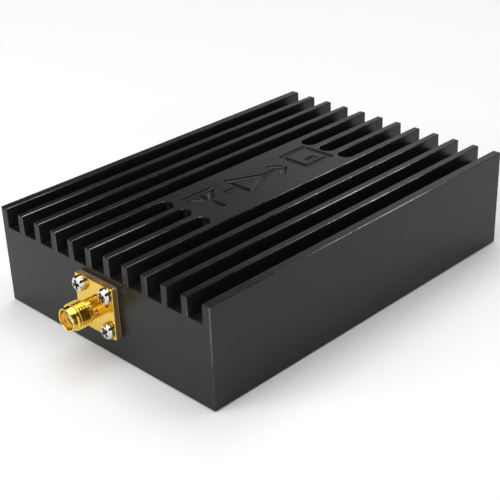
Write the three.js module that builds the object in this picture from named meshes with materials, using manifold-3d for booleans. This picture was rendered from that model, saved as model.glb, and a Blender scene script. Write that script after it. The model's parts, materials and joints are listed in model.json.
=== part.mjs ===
// In-line cellular signal booster: a finned aluminium case with a coaxial jack at each end.
// Millimetres. +Z is up, the front jack points along -Y, and X runs across the fins.
// The origin is the middle of the case's underside.
import * as THREE from 'three';
import { mergeVertices } from 'three/addons/utils/BufferGeometryUtils.js';
import Module from 'manifold-3d';

// Case
const CASE_W = 69.8;
const CASE_L = 100;
const CASE_H = 24.6;
const WALL = 4;
const GROOVES = 11;
const GROOVE_PITCH = 6.1;
const GROOVE_W = 4.33;
const GROOVE_DEPTH = 4.6;
const PAD_GROOVES = 3; // the middle grooves, which stop at each end of the flat pad
const PAD_L = 45.6;
const ROOF_T = 3; // metal between a groove's floor and the cavity

// Bottom cover
const COVER_T = 2.5;
const COVER_LEDGE = 2; // width of the step that the cover rests on
const COVER_SCREW = { headR: 2.75, headH: 1.7, shankR: 1.45, length: 8, recessR: 1.5 };
const FLAT_HEAD_RIM = 0.3; // straight side of a flat head, above its cone
const BOSS = 7; // side of each square post that takes a cover screw
const BOSS_Y = [-1, 0, 1]; // rows of posts, front, middle and rear

// Coaxial jacks, measured along their axis from the face of the case
const JACK_Z = 12.1;
const FLANGE = 12.7;
const FLANGE_T = 1.6;
const FLANGE_HOLES = 8.6; // square on which the four screws stand
const FLANGE_HOLE_R = 1.3;
const NECK_R = 2.5;
const NECK_END = 4.8;
const THREAD_R = 3.15;
const THREAD_END = 8.4;
const NOSE_R = 2.7;
const JACK_END = 9.5;
const SOCKET_R = 2.3;
const SOCKET_DEPTH = 1.95;
const INSULATOR_R = 2.05;
const CONTACT_R = 0.635;
const CONTACT_HOLE_R = 0.47;
const CONTACT_HOLE_DEPTH = 3;
const CONTACT_TAIL = 3.3; // how far the contact reaches past the wall, over the board
const LOCK_HOLE_R = 0.45;
const LOCK_HOLE_Z = 3;
const JACK_SCREW = { headR: 1.9, headH: 1.4, shankR: 1.05, length: 5, recessR: 1.05 };

// Circuit board
const BOARD_T = 1.6;
const BOARD_EDGE_GAP = 0.5;
const BOARD_SCREW = { headR: 2.2, headH: 1.6, shankR: 1.2, length: 6, recessR: 1.1 };
const BOARD_SCREWS = [[-19, -41], [19, -41], [0, 0], [-8, 40], [8, 40]];
const STANDOFF_R = 2.75;

// Power inlet and status light, on the rear wall
const INLET_X = 18.2;
const INLET_Z = 11;
const INLET_BODY = 9.4;
const INLET_DEPTH = 10;
const INLET_NOSE_R = 4;
const INLET_BORE_R = 3.2;
const INLET_BORE_DEPTH = 10.5;
const INLET_PIN_R = 1.05;
const INLET_PIN_L = 13.7;
const LIGHT_X = -19;
const LIGHT_R = 1.5;
const LIGHT_PROUD = 0.4;

// Screening cans and what they hold
const CAN = { width: 19, length: 70, height: 3.6, sheet: 0.3, x: 13.75, y: -0.5 };
const THERMAL_PAD = { width: 16, length: 30 };

// Clearances
const CLEAR = 0.3; // beside a loose piece
const TAPPED = 0.1; // round a screw in its thread
const FIT = 0.05; // round a pressed or sliding piece

// Facets round a turned piece
const FINE = 32;
const COARSE = 16;
const TAPPED_FACETS = 12;

const wasm = await Module();
wasm.setup();

const caseFront = -CASE_L / 2;
const cavityX = CASE_W / 2 - WALL;
const cavityY = CASE_L / 2 - WALL;
const grooveFloor = CASE_H - GROOVE_DEPTH;
const roof = grooveFloor - ROOF_T;
const bossX = cavityX - BOSS / 2;
const bossY = cavityY - BOSS / 2;
const flangeHole = FLANGE_HOLES / 2;
const boardTop = JACK_Z - CONTACT_R - FIT; // the contacts' tails lie on it
const boardBottom = boardTop - BOARD_T;
const inletFront = -WALL - CLEAR; // of the inlet's body, from the wall's outer face
const inletBack = inletFront - INLET_DEPTH;

// Finishes

function finish(color, roughness, metalness) {
  return () => new THREE.MeshStandardMaterial({ color, roughness, metalness });
}

const blackAnodised = finish(0x1b1b1c, 0.55, 0.5);
const goldPlate = finish(0xd9b263, 0.28, 1);
const nickelPlate = finish(0xbdbcb8, 0.25, 1);
const blackSteel = finish(0x202022, 0.4, 0.8);
const whitePtfe = finish(0xeae6dc, 0.5, 0);
const greenBoard = finish(0x1f5a35, 0.45, 0);
const tinPlate = finish(0xb8babb, 0.35, 0.9);
const blackPlastic = finish(0x161616, 0.6, 0);
const chipBlack = finish(0x232325, 0.5, 0);
const ceramic = finish(0xcfc7b4, 0.4, 0);
const clearLens = finish(0xdfe8e2, 0.15, 0);
const greyPad = finish(0x8f959b, 0.9, 0);

// Solids and cuts

function bareMesh(geometry) {
  const bare = geometry.clone();
  bare.deleteAttribute('normal');
  bare.deleteAttribute('uv');
  const merged = mergeVertices(bare, 1e-5);
  const corners = merged.index.array;
  const kept = [];
  for (let i = 0; i < corners.length; i += 3) {
    const [a, b, c] = [corners[i], corners[i + 1], corners[i + 2]];
    if (a !== b && b !== c && c !== a) kept.push(a, b, c);
  }
  merged.setIndex(kept);
  return merged;
}

function solid(geometry) {
  const bare = bareMesh(geometry);
  const vertProperties = new Float32Array(bare.attributes.position.array);
  const triVerts = new Uint32Array(bare.index.array);
  return new wasm.Manifold(new wasm.Mesh({ numProp: 3, vertProperties, triVerts }));
}

function surface(body) {
  const { vertProperties, triVerts } = body.getMesh();
  const geometry = new THREE.BufferGeometry();
  geometry.setAttribute('position', new THREE.BufferAttribute(vertProperties, 3));
  geometry.setIndex(new THREE.BufferAttribute(triVerts, 1));
  geometry.computeVertexNormals();
  return geometry;
}

function join(base, ...additions) {
  return additions.reduce((body, piece) => body.add(solid(piece)), base);
}

function cut(base, ...cutters) {
  return cutters.reduce((body, piece) => body.subtract(solid(piece)), base);
}

// A box from its lowest to its highest corner.
function block(low, high) {
  const size = high.map((h, i) => h - low[i]);
  const middle = high.map((h, i) => (h + low[i]) / 2);
  return new THREE.BoxGeometry(...size).translate(...middle);
}

// A turned piece about Z, from [radius, height] points that run anticlockwise.
function turned(profile, facets = FINE) {
  const points = profile.map(([r, z]) => new THREE.Vector2(r, z));
  return new THREE.LatheGeometry(points, facets).rotateX(Math.PI / 2);
}

// A rod or a ring about Z between two heights.
function rod(radius, low, high, facets = FINE) {
  return turned([[0, low], [radius, low], [radius, high], [0, high]], facets);
}

function ring(inner, outer, low, high, facets = FINE) {
  const corners = [[inner, low], [outer, low], [outer, high], [inner, high], [inner, low]];
  return turned(corners, facets);
}

// A flat outline in X and Y, given a thickness along Z.
function plate(outline, low, high) {
  const shape = new THREE.Shape(outline.map(([x, y]) => new THREE.Vector2(x, y)));
  const depth = high - low;
  return new THREE.ExtrudeGeometry(shape, { depth, bevelEnabled: false }).translate(0, 0, low);
}

function named(name, geometry, material) {
  const mesh = new THREE.Mesh(bareMesh(geometry), material());
  mesh.geometry.computeVertexNormals();
  mesh.name = name;
  return mesh;
}

function at(object, x, y, z) {
  object.position.set(x, y, z);
  return object;
}

// Screws stand on the XY plane with the head above it and the shank below.

function crossRecess(reach, top) {
  const depth = reach * 0.85;
  const half = reach * 0.24;
  const along = block([-reach, -half, top - depth], [reach, half, top + 1]);
  const across = block([-half, -reach, top - depth], [half, reach, top + 1]);
  return [along, across];
}

function panHeadScrew(size) {
  const rim = size.headH * 0.45; // height of the head's straight side
  const flat = size.headR * 0.55; // radius of its flat top
  const profile = [[0, -size.length], [size.shankR, -size.length], [size.shankR, 0], [size.headR, 0]];
  for (let step = 0; step <= 3; step += 1) {
    const angle = (step / 3) * (Math.PI / 2);
    const r = flat + (size.headR - flat) * Math.cos(angle);
    profile.push([r, rim + (size.headH - rim) * Math.sin(angle)]);
  }
  profile.push([0, size.headH]);
  return surface(cut(solid(turned(profile, COARSE)), ...crossRecess(size.recessR, size.headH)));
}

// A flat head lies flush with the XY plane, so all of this screw is below it.
function flatHeadScrew(size) {
  const profile = [
    [0, -size.length], [size.shankR, -size.length], [size.shankR, -size.headH],
    [size.headR, -FLAT_HEAD_RIM], [size.headR, 0], [0, 0],
  ];
  return surface(cut(solid(turned(profile, COARSE)), ...crossRecess(size.recessR, 0)));
}

// The hole and countersink that a flat head sits in, from a plate's face at z = 0 downwards.
function countersink(size, depth) {
  const shankR = size.shankR + CLEAR;
  const headR = size.headR + CLEAR;
  return turned([
    [0, -depth - 1], [shankR, -depth - 1], [shankR, -size.headH - CLEAR],
    [headR, -FLAT_HEAD_RIM - CLEAR], [headR, 1], [0, 1],
  ], COARSE);
}

// Case: fins along Y, a flat pad among the middle ones, and a cavity that opens downwards.

function fullGroove(x) {
  const half = GROOVE_W / 2;
  return block([x - half, caseFront - 1, grooveFloor], [x + half, 1 - caseFront, CASE_H + 1]);
}

// A groove that starts at one end of the case and stops at the pad in a half round.
function shortGroove(x, end) {
  const half = GROOVE_W / 2;
  const outer = CASE_L / 2 + 1;
  const centre = PAD_L / 2 + half;
  const outline = [[x - half, outer * end], [x + half, outer * end]];
  for (let step = 0; step <= 12; step += 1) {
    const angle = (step / 12) * Math.PI;
    outline.push([x + half * Math.cos(angle), (centre - half * Math.sin(angle)) * end]);
  }
  return plate(outline, grooveFloor, CASE_H + 1);
}

function grooves() {
  const cutters = [];
  for (let i = 0; i < GROOVES; i += 1) {
    const fromMiddle = i - (GROOVES - 1) / 2;
    const x = fromMiddle * GROOVE_PITCH;
    if (Math.abs(fromMiddle) <= (PAD_GROOVES - 1) / 2) {
      cutters.push(shortGroove(x, 1), shortGroove(x, -1));
    } else {
      cutters.push(fullGroove(x));
    }
  }
  return cutters;
}

function bosses() {
  const places = [];
  for (const side of [-1, 1]) {
    for (const row of BOSS_Y) places.push([side * bossX, row * bossY]);
  }
  return places;
}

// Stands a cutter built about Z on an end wall, so that its +Z faces outwards.
function inEndWall(end, across, height, geometry) {
  const x = end === 'rear' ? -across : across;
  const standing = geometry.rotateX(Math.PI / 2).translate(x, caseFront, height);
  return end === 'rear' ? standing.rotateZ(Math.PI) : standing;
}

function jackHoles(end) {
  const depth = JACK_SCREW.length - FLANGE_T + CLEAR;
  const cutters = [rod(INSULATOR_R + CLEAR, -WALL - 1, 1)];
  for (const [x, y] of flangeHoles()) {
    cutters.push(rod(JACK_SCREW.shankR + TAPPED, -depth, 1, TAPPED_FACETS).translate(x, y, 0));
  }
  return cutters.map((geometry) => inEndWall(end, 0, JACK_Z, geometry));
}

// A square post from the cover up to the roof, run into the walls beside it.
function coverPost(x, y) {
  const half = BOSS / 2;
  const into = 0.5;
  const [sideX, sideY] = [Math.sign(x) * into, Math.sign(y) * into];
  const low = [x - half + Math.min(sideX, 0), y - half + Math.min(sideY, 0), COVER_T];
  const high = [x + half + Math.max(sideX, 0), y + half + Math.max(sideY, 0), roof + into];
  return block(low, high);
}

function caseBody() {
  const [x, y] = [CASE_W / 2, CASE_L / 2];
  const ledgeX = cavityX + COVER_LEDGE;
  const ledgeY = cavityY + COVER_LEDGE;
  let body = cut(
    solid(block([-x, -y, 0], [x, y, CASE_H])),
    ...grooves(),
    block([-ledgeX, -ledgeY, -1], [ledgeX, ledgeY, COVER_T]),
    block([-cavityX, -cavityY, -1], [cavityX, cavityY, roof]),
  );
  for (const [px, py] of bosses()) {
    const tapped = rod(COVER_SCREW.shankR + TAPPED, 0, COVER_SCREW.length + CLEAR, TAPPED_FACETS);
    body = cut(join(body, coverPost(px, py)), tapped.translate(px, py, 0));
  }
  for (const [sx, sy] of BOARD_SCREWS) {
    const top = boardBottom + BOARD_SCREW.length + CLEAR;
    const post = rod(STANDOFF_R, boardTop, roof + 0.5, COARSE).translate(sx, sy, 0);
    const tapped = rod(BOARD_SCREW.shankR + TAPPED, boardBottom, top, TAPPED_FACETS);
    body = cut(join(body, post), tapped.translate(sx, sy, 0));
  }
  const inletHole = rod(INLET_NOSE_R + CLEAR, -WALL - 1, 1);
  const lightHole = rod(LIGHT_R + CLEAR, -WALL - 1, 1, COARSE);
  body = cut(
    body,
    ...jackHoles('front'),
    ...jackHoles('rear'),
    inEndWall('rear', INLET_X, INLET_Z, inletHole),
    inEndWall('rear', LIGHT_X, JACK_Z, lightHole),
  );
  return named('case_body', surface(body), blackAnodised);
}

function bottomCover() {
  const x = cavityX + COVER_LEDGE - CLEAR;
  const y = cavityY + COVER_LEDGE - CLEAR;
  const seats = bosses().map(([px, py]) => (
    countersink(COVER_SCREW, COVER_T).rotateX(Math.PI).translate(px, py, 0)
  ));
  const body = cut(solid(block([-x, -y, 0], [x, y, COVER_T])), ...seats);
  return named('bottom_cover', surface(body), blackAnodised);
}

function coverScrews() {
  return bosses().map(([x, y], i) => {
    const geometry = flatHeadScrew(COVER_SCREW).rotateX(Math.PI);
    return at(named(`cover_screw_${i + 1}`, geometry, blackSteel), x, y, 0);
  });
}

// Coaxial jacks, built about Z with the flange's back on the XY plane.

function flangeHoles() {
  const places = [];
  for (const x of [-flangeHole, flangeHole]) {
    for (const y of [-flangeHole, flangeHole]) places.push([x, y]);
  }
  return places;
}

function jackShell() {
  const bore = INSULATOR_R + FIT;
  const shoulder = JACK_END - SOCKET_DEPTH;
  const bevel = 0.3;
  const edge = 0.05;
  const profile = [
    [bore, 0], [NECK_R, 0], [NECK_R, NECK_END - bevel], [THREAD_R, NECK_END],
    [THREAD_R, THREAD_END - bevel], [NOSE_R, THREAD_END], [NOSE_R, JACK_END - edge],
    [NOSE_R - edge, JACK_END], [SOCKET_R + edge, JACK_END], [SOCKET_R, JACK_END - edge],
    [SOCKET_R, shoulder], [bore, shoulder], [bore, 0],
  ];
  const half = FLANGE / 2;
  const middle = rod((bore + NECK_R) / 2, -1, FLANGE_T + 1);
  const flange = cut(solid(block([-half, -half, 0], [half, half, FLANGE_T])), middle);
  const holes = flangeHoles().map(([x, y]) => (
    rod(FLANGE_HOLE_R, -1, FLANGE_T + 1, COARSE).translate(x, y, 0)
  ));
  const lockHole = rod(LOCK_HOLE_R, (bore + NECK_R) / 2, NECK_R + 1, TAPPED_FACETS)
    .rotateY(Math.PI / 2).translate(0, 0, LOCK_HOLE_Z);
  return surface(cut(join(flange, turned(profile)), ...holes, lockHole));
}

function jackInsulator() {
  return ring(CONTACT_R + FIT, INSULATOR_R, -WALL, JACK_END - SOCKET_DEPTH);
}

function jackContact() {
  const tip = JACK_END - SOCKET_DEPTH;
  const bottom = tip - CONTACT_HOLE_DEPTH;
  const tail = -WALL - CONTACT_TAIL;
  return turned([
    [0, tail], [CONTACT_R, tail], [CONTACT_R, tip], [CONTACT_HOLE_R, tip],
    [CONTACT_HOLE_R, bottom], [0, bottom],
  ], COARSE);
}

// Stands pieces built about Z on an end wall, so that their +Z faces outwards and their +Y faces up.
function onEndWall(end, across, height, pieces) {
  const stand = new THREE.Group();
  stand.add(...pieces);
  stand.rotation.x = Math.PI / 2;
  stand.position.set(end === 'rear' ? -across : across, caseFront, height);
  const turn = new THREE.Group();
  turn.add(stand);
  turn.rotation.z = end === 'rear' ? Math.PI : 0;
  return turn;
}

function jack(end) {
  const pieces = [
    named(`${end}_jack_shell`, jackShell(), goldPlate),
    named(`${end}_jack_insulator`, jackInsulator(), whitePtfe),
    named(`${end}_jack_contact`, jackContact(), goldPlate),
  ];
  flangeHoles().forEach(([x, y], i) => {
    const name = `${end}_jack_screw_${i + 1}`;
    pieces.push(at(named(name, panHeadScrew(JACK_SCREW), nickelPlate), x, y, FLANGE_T));
  });
  return onEndWall(end, 0, JACK_Z, pieces);
}

// Power inlet, built about Z with the outer face of the wall on the XY plane.

function inletBody() {
  const half = INLET_BODY / 2;
  const slotHalf = 1.6;
  const box = solid(block([-half, -half, inletBack], [half, half, inletFront]));
  const nose = rod(INLET_NOSE_R, inletFront - 1, 0);
  const bore = rod(INLET_BORE_R, -INLET_BORE_DEPTH, 1);
  const pinHole = rod(INLET_PIN_R + FIT, inletBack - 1, 0, COARSE);
  const springSlot = block([-slotHalf, -half - 1, inletBack + 1], [slotHalf, 0, inletFront - 1.2]);
  return surface(cut(join(box, nose), bore, pinHole, springSlot));
}

function inletPin() {
  const back = inletBack - 0.6;
  const tip = back + INLET_PIN_L;
  const bevel = 0.6;
  return turned([
    [0, back], [INLET_PIN_R, back], [INLET_PIN_R, tip - bevel], [INLET_PIN_R - bevel, tip], [0, tip],
  ], COARSE);
}

// A leaf that bears on the plug's sleeve. Its tail comes out below the body.
function inletSpring() {
  const outline = [
    [-12.7, -5.6], [-12.4, -5.6], [-12.4, -3.9], [-8, -2.8],
    [-6.3, -3.6], [-6.2, -3.3], [-8, -2.5], [-12.7, -3.6],
  ];
  return plate(outline, -1.2, 1.2).rotateY(-Math.PI / 2);
}

function powerInlet() {
  return onEndWall('rear', INLET_X, INLET_Z, [
    named('power_inlet_body', inletBody(), blackPlastic),
    named('power_inlet_pin', inletPin(), nickelPlate),
    named('power_inlet_spring', inletSpring(), tinPlate),
  ]);
}

function statusLight() {
  const inner = -WALL;
  const dome = turned([
    [0, inner], [LIGHT_R, inner], [LIGHT_R, 0], [LIGHT_R * 0.85, LIGHT_PROUD * 0.6],
    [LIGHT_R * 0.5, LIGHT_PROUD * 0.92], [0, LIGHT_PROUD],
  ], COARSE);
  return onEndWall('rear', LIGHT_X, JACK_Z, [named('status_light_pipe', dome, clearLens)]);
}

// Circuit board, notched round the posts and the power inlet

function board() {
  const x = cavityX - BOARD_EDGE_GAP;
  const y = cavityY - BOARD_EDGE_GAP;
  const inX = cavityX - BOSS - BOARD_EDGE_GAP;
  const inY = cavityY - BOSS - BOARD_EDGE_GAP;
  const side = BOSS / 2 + BOARD_EDGE_GAP;
  const inletLow = INLET_X - INLET_BODY / 2 - CLEAR;
  const inletHigh = INLET_X + INLET_BODY / 2 + CLEAR;
  const inletY = CASE_L / 2 + inletBack - 1;
  const outline = [
    [-inX, -y], [inX, -y], [inX, -inY], [x, -inY], [x, -side], [inX, -side], [inX, side],
    [x, side], [x, inY], [inX, inY], [inletHigh, inY], [inletHigh, inletY],
    [inletLow, inletY], [inletLow, y], [-inX, y], [-inX, inY], [-x, inY], [-x, side],
    [-inX, side], [-inX, -side], [-x, -side], [-x, -inY], [-inX, -inY],
  ];
  const holes = BOARD_SCREWS.map(([sx, sy]) => (
    rod(BOARD_SCREW.shankR + CLEAR, 0, CASE_H, COARSE).translate(sx, sy, 0)
  ));
  const body = cut(solid(plate(outline, boardBottom, boardTop)), ...holes);
  return named('circuit_board', surface(body), greenBoard);
}

function boardScrews() {
  return BOARD_SCREWS.map(([x, y], i) => {
    const geometry = panHeadScrew(BOARD_SCREW).rotateX(Math.PI);
    return at(named(`board_screw_${i + 1}`, geometry, nickelPlate), x, y, boardBottom);
  });
}

// A chip or a block that stands on the board's upper face, or hangs from its lower one.
function mounted(name, side, [x, y], [width, length, height], material) {
  const low = side === 'top' ? boardTop : boardBottom - height;
  const corner = [x - width / 2, y - length / 2, low];
  const far = [x + width / 2, y + length / 2, low + height];
  return named(name, block(corner, far), material);
}

function roundMounted(name, [x, y], radius, height, material) {
  const low = boardBottom - height;
  return named(name, rod(radius, low, boardBottom, COARSE).translate(x, y, 0), material);
}

// One can and one band: two duplexers, the uplink power amplifier and the downlink amplifier.
function band(name, side) {
  const x = side * CAN.x;
  const [halfW, halfL] = [CAN.width / 2, CAN.length / 2];
  const top = boardTop + CAN.height;
  const outer = block([x - halfW, CAN.y - halfL, boardTop], [x + halfW, CAN.y + halfL, top]);
  const inner = block(
    [x - halfW + CAN.sheet, CAN.y - halfL + CAN.sheet, boardTop - 1],
    [x + halfW - CAN.sheet, CAN.y + halfL - CAN.sheet, top - CAN.sheet],
  );
  const pad = block(
    [x - THERMAL_PAD.width / 2, CAN.y - THERMAL_PAD.length / 2, top],
    [x + THERMAL_PAD.width / 2, CAN.y + THERMAL_PAD.length / 2, roof],
  );
  return [
    named(`${name}_screening_can`, surface(cut(solid(outer), inner)), tinPlate),
    named(`${name}_thermal_pad`, pad, greyPad),
    mounted(`${name}_antenna_duplexer`, 'top', [x, -27], [9, 7, 2.2], ceramic),
    mounted(`${name}_device_duplexer`, 'top', [x, 26], [9, 7, 2.2], ceramic),
    mounted(`${name}_uplink_amplifier`, 'top', [x + side * 4, -6], [6, 6, 1.1], chipBlack),
    mounted(`${name}_downlink_amplifier`, 'top', [x - side * 4, 8], [4, 4, 0.9], chipBlack),
  ];
}

function supplyAndControl() {
  return [
    mounted('status_led', 'top', [LIGHT_X, 41.5], [3.2, 1.6, 2], clearLens),
    mounted('power_inductor', 'bottom', [15, 24], [10, 10, 4.5], chipBlack),
    mounted('voltage_regulator', 'bottom', [2, 24], [6.6, 9, 2.3], chipBlack),
    mounted('control_processor', 'bottom', [-12, 12], [7, 7, 1.2], chipBlack),
    mounted('clock_crystal', 'bottom', [-12, 2], [5, 3.2, 1.1], tinPlate),
    roundMounted('input_capacitor', [25.2, 26], 4, 6.2, tinPlate),
    roundMounted('output_capacitor', [-7, 24], 3.15, 5.8, tinPlate),
  ];
}

const booster = new THREE.Group();
booster.add(caseBody(), bottomCover(), ...coverScrews());
booster.add(jack('front'), jack('rear'), powerInlet(), statusLight());
booster.add(board(), ...boardScrews());
booster.add(...band('low_band', -1), ...band('high_band', 1), ...supplyAndControl());

export default booster;
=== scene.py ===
import json
import math

import bmesh
import bpy
from mathutils import Euler, Matrix, Vector
from mathutils.geometry import delaunay_2d_cdt


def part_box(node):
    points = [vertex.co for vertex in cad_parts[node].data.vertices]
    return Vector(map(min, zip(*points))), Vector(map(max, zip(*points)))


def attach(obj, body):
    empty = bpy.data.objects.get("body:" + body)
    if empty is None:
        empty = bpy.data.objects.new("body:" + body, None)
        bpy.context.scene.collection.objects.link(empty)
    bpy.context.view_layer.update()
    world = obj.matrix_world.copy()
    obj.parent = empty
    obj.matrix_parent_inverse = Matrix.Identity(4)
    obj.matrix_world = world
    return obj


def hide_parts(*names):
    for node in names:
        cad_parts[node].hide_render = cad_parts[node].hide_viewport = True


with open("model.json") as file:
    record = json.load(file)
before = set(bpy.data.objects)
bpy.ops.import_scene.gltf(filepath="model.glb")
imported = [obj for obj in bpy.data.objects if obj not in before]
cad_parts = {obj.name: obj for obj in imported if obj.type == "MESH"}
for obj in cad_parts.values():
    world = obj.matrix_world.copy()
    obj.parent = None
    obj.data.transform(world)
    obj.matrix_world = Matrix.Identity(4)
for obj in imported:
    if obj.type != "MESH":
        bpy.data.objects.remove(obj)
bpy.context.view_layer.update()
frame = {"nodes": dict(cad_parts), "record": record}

# A cellular signal booster. The case, jacks, screws, cover, inlet and light are modelled here, and the
# board and its parts keep their CAD meshes. Lengths are in millimetres where nothing else is said, and
# MM turns them into metres.
MM = 0.001

# Case
case_low, case_high = (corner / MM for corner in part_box("case_body"))
CASE_W = case_high.x - case_low.x
CASE_L = case_high.y - case_low.y
CASE_H = case_high.z - case_low.z
WALL = 4
GROOVES = 11
GROOVE_PITCH = 6.1
GROOVE_W = 4.33
GROOVE_DEPTH = 4.6
PAD_GROOVES = 3
PAD_L = 45.6
ROOF_T = 3
COVER_T = 2.5
COVER_LEDGE = 2
BOSS = 7
STANDOFF_R = 2.75
BEVEL = 0.2
CORNER_SHARE = 1.3  # of the bevel, on the case's upright corners
EDGE_SHARE = 0.7  # on its other edges
COVER_SHARE = 0.6  # on the cover's edges

# Symbols engraved in the pad
MARK_PROFILE = (  # widths across a stroke, and the heights over the pad there
    (0.6, -0.42),
    (1.1, -0.38),
    (1.45, -0.27),
    (1.7, -0.12),
    (2.1, 0.2),
)
MARK_TOOL_TOP = 0.5  # over the pad
MARK_JOIN = 0.01  # outline corners closer than this become one
MARK_CENTRE = (-0.4, 0.8)  # of the symbols, across and along the case

# Jacks, along their axis from the face of the case
JACK_Z = 12.1
FLANGE = 12.7
FLANGE_T = 1.6
FLANGE_CORNER = 0.5
FLANGE_RIM = 0.3
FLANGE_BEVEL = 0.16
FLANGE_HOLES = 8.6
FLANGE_HOLE_R = 1.3
NECK_R = 2.5
NECK_END = 4.8
THREAD_R = 3.15
THREAD_PITCH = 25.4 / 36
THREAD_DEPTH = 0.43
THREAD_END = 8.4
NOSE_R = 2.7
JACK_END = 9.5
SOCKET_R = 2.3
SOCKET_DEPTH = 1.95
BORE_R = 2.1
INSULATOR_R = 2.05
CONTACT_R = 0.635
CONTACT_HOLE_R = 0.47
CONTACT_HOLE_DEPTH = 3
CONTACT_TAIL = 3.3
CONTACT_SLOT = 0.18
CONTACT_SLOT_DEPTH = 2.6
LOCK_HOLE_R = 0.4
LOCK_HOLE_CHAMFER = 0.12
LOCK_HOLE_FLOOR = 0.4  # how much of the insulator is left over the contact
LOCK_HOLE_Z = 3
LOCK_HOLE_TURN = 10

# Screws
JACK_SCREW = {"head_r": 1.9, "head_h": 1.4, "shank_r": 1.05, "length": 5, "reach": 1.15}
BOARD_SCREW = {"head_r": 2.2, "head_h": 1.6, "shank_r": 1.2, "length": 6, "reach": 1.25}
COVER_SCREW = {"head_r": 2.75, "head_h": 1.7, "shank_r": 1.45, "length": 8, "reach": 1.6}
FLAT_HEAD_RIM = 0.3
SCREW_PITCH = 0.45
SCREW_THREAD_DEPTH = 0.2
SCREW_NECK = 0.2  # the plain length under the head
SCREW_BEVEL = 0.06
TAPPED = 0.1  # how much wider than its screw a hole is

# Power inlet and status light
INLET_BODY = 9.4
INLET_DEPTH = 10
INLET_NOSE_R = 4
INLET_BORE_R = 3.2
INLET_BORE_DEPTH = 10.5
INLET_PIN_R = 1.05
INLET_PIN_L = 13.7
INLET_PIN_TAIL = 0.6
INLET_PIN_NOSE = 0.6
INLET_BEVEL = 0.3
INLET_NOSE_CHAMFER = 0.2
INLET_BORE_CHAMFER = 0.25
INLET_SLOT = 3.2
LIGHT_R = 1.5
LIGHT_PROUD = 0.4
MOUTH_CHAMFER = 0.2

# Gaps
CLEAR = 0.3
FIT = 0.05
JOIN = 0.0002  # corners closer than this become one
NEAR = 0.01  # surfaces closer than this count as the same
OVER = 1  # how far a tool reaches past what it cuts, or a part into what it is welded to


# ---- Camera, light and floor

CAMERA_PLACE = (178.41, -179.84, 138.74)
CAMERA_TURN = (62.22, 1.868, 44.416)
CAMERA_LENS = 83.42
FLOOR_R = 0.9  # metres
FLOOR_DROP = 0.2
LAMP_DISTANCE = 1.3  # metres
WALL_TOP = (0.10, 0.20)  # sine of the height at which the wall starts to fade, and ends
BACKDROP_TURN = math.radians(350)
BACKDROP_LEVELS = (  # cosine of the angle away from the backdrop's middle, and the brightness there
    (0.0, 0.03),
    (0.5, 0.035),
    (0.62, 0.045),
    (0.70, 0.10),
    (0.755, 0.30),
    (0.775, 0.76),
    (0.84, 0.87),
)


def link(obj):
    bpy.context.scene.collection.objects.link(obj)
    return obj


def make_camera():
    data = bpy.data.cameras.new("camera")
    data.lens = CAMERA_LENS
    data.sensor_width = 36
    data.clip_start = 0.01
    camera = link(bpy.data.objects.new("camera", data))
    camera.location = Vector(CAMERA_PLACE) * MM
    camera.rotation_euler = Euler([math.radians(a) for a in CAMERA_TURN])
    bpy.context.scene.camera = camera


def make_softbox(name, azimuth, elevation, size, power):
    """A rectangular lamp aimed at the origin. Azimuth 0 is +Y and 90 is +X. Its size is in metres."""
    data = bpy.data.lights.new(name, "AREA")
    data.shape = "RECTANGLE"
    data.size, data.size_y = size
    data.energy = power
    lamp = link(bpy.data.objects.new(name, data))
    around, up = math.radians(azimuth), math.radians(elevation)
    level = math.cos(up)
    towards = Vector((math.sin(around) * level, math.cos(around) * level, math.sin(up)))
    lamp.location = towards * LAMP_DISTANCE
    lamp.rotation_euler = (-lamp.location).to_track_quat("-Z", "Y").to_euler()


def make_world():
    """A dim room with a pale backdrop behind the booster, whose left edge fades out, and a pale
    wall all round that reaches a little above the floor."""
    world = bpy.data.worlds.new("studio")
    world.use_nodes = True
    bpy.context.scene.world = world
    tree = world.node_tree
    direction = tree.nodes.new("ShaderNodeTexCoord").outputs["Generated"]
    towards = tree.nodes.new("ShaderNodeVectorMath")
    towards.operation = "DOT_PRODUCT"
    towards.inputs[1].default_value = Vector((math.sin(BACKDROP_TURN), math.cos(BACKDROP_TURN), 0))
    ramp = tree.nodes.new("ShaderNodeValToRGB")
    stops = ramp.color_ramp.elements
    for position, _ in BACKDROP_LEVELS[1:-1]:
        stops.new(position)
    for stop, (position, level) in zip(stops, BACKDROP_LEVELS):
        stop.position = position
        stop.color = (level, level, level, 1)
    height = tree.nodes.new("ShaderNodeSeparateXYZ")
    wall = tree.nodes.new("ShaderNodeMapRange")
    for socket, value in zip(wall.inputs[1:5], (*WALL_TOP, 1, 0)):
        socket.default_value = value
    brighter = tree.nodes.new("ShaderNodeMath")
    brighter.operation = "MAXIMUM"
    tree.links.new(direction, towards.inputs[0])
    tree.links.new(towards.outputs["Value"], ramp.inputs["Fac"])
    tree.links.new(direction, height.inputs[0])
    tree.links.new(height.outputs["Z"], wall.inputs["Value"])
    tree.links.new(ramp.outputs["Color"], brighter.inputs[0])
    tree.links.new(wall.outputs["Result"], brighter.inputs[1])
    tree.links.new(brighter.outputs["Value"], tree.nodes["Background"].inputs["Color"])


def make_floor():
    mesh_data = bmesh.new()
    bmesh.ops.create_circle(mesh_data, cap_ends=True, radius=FLOOR_R, segments=96)
    mesh = bpy.data.meshes.new("floor")
    mesh_data.to_mesh(mesh)
    mesh_data.free()
    floor = link(bpy.data.objects.new("floor", mesh))
    floor.location.z = -FLOOR_DROP * MM
    paint = Paint("pale_floor", (0.9, 0.9, 0.9), roughness=0.8)
    floor.data.materials.append(paint.material)


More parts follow.
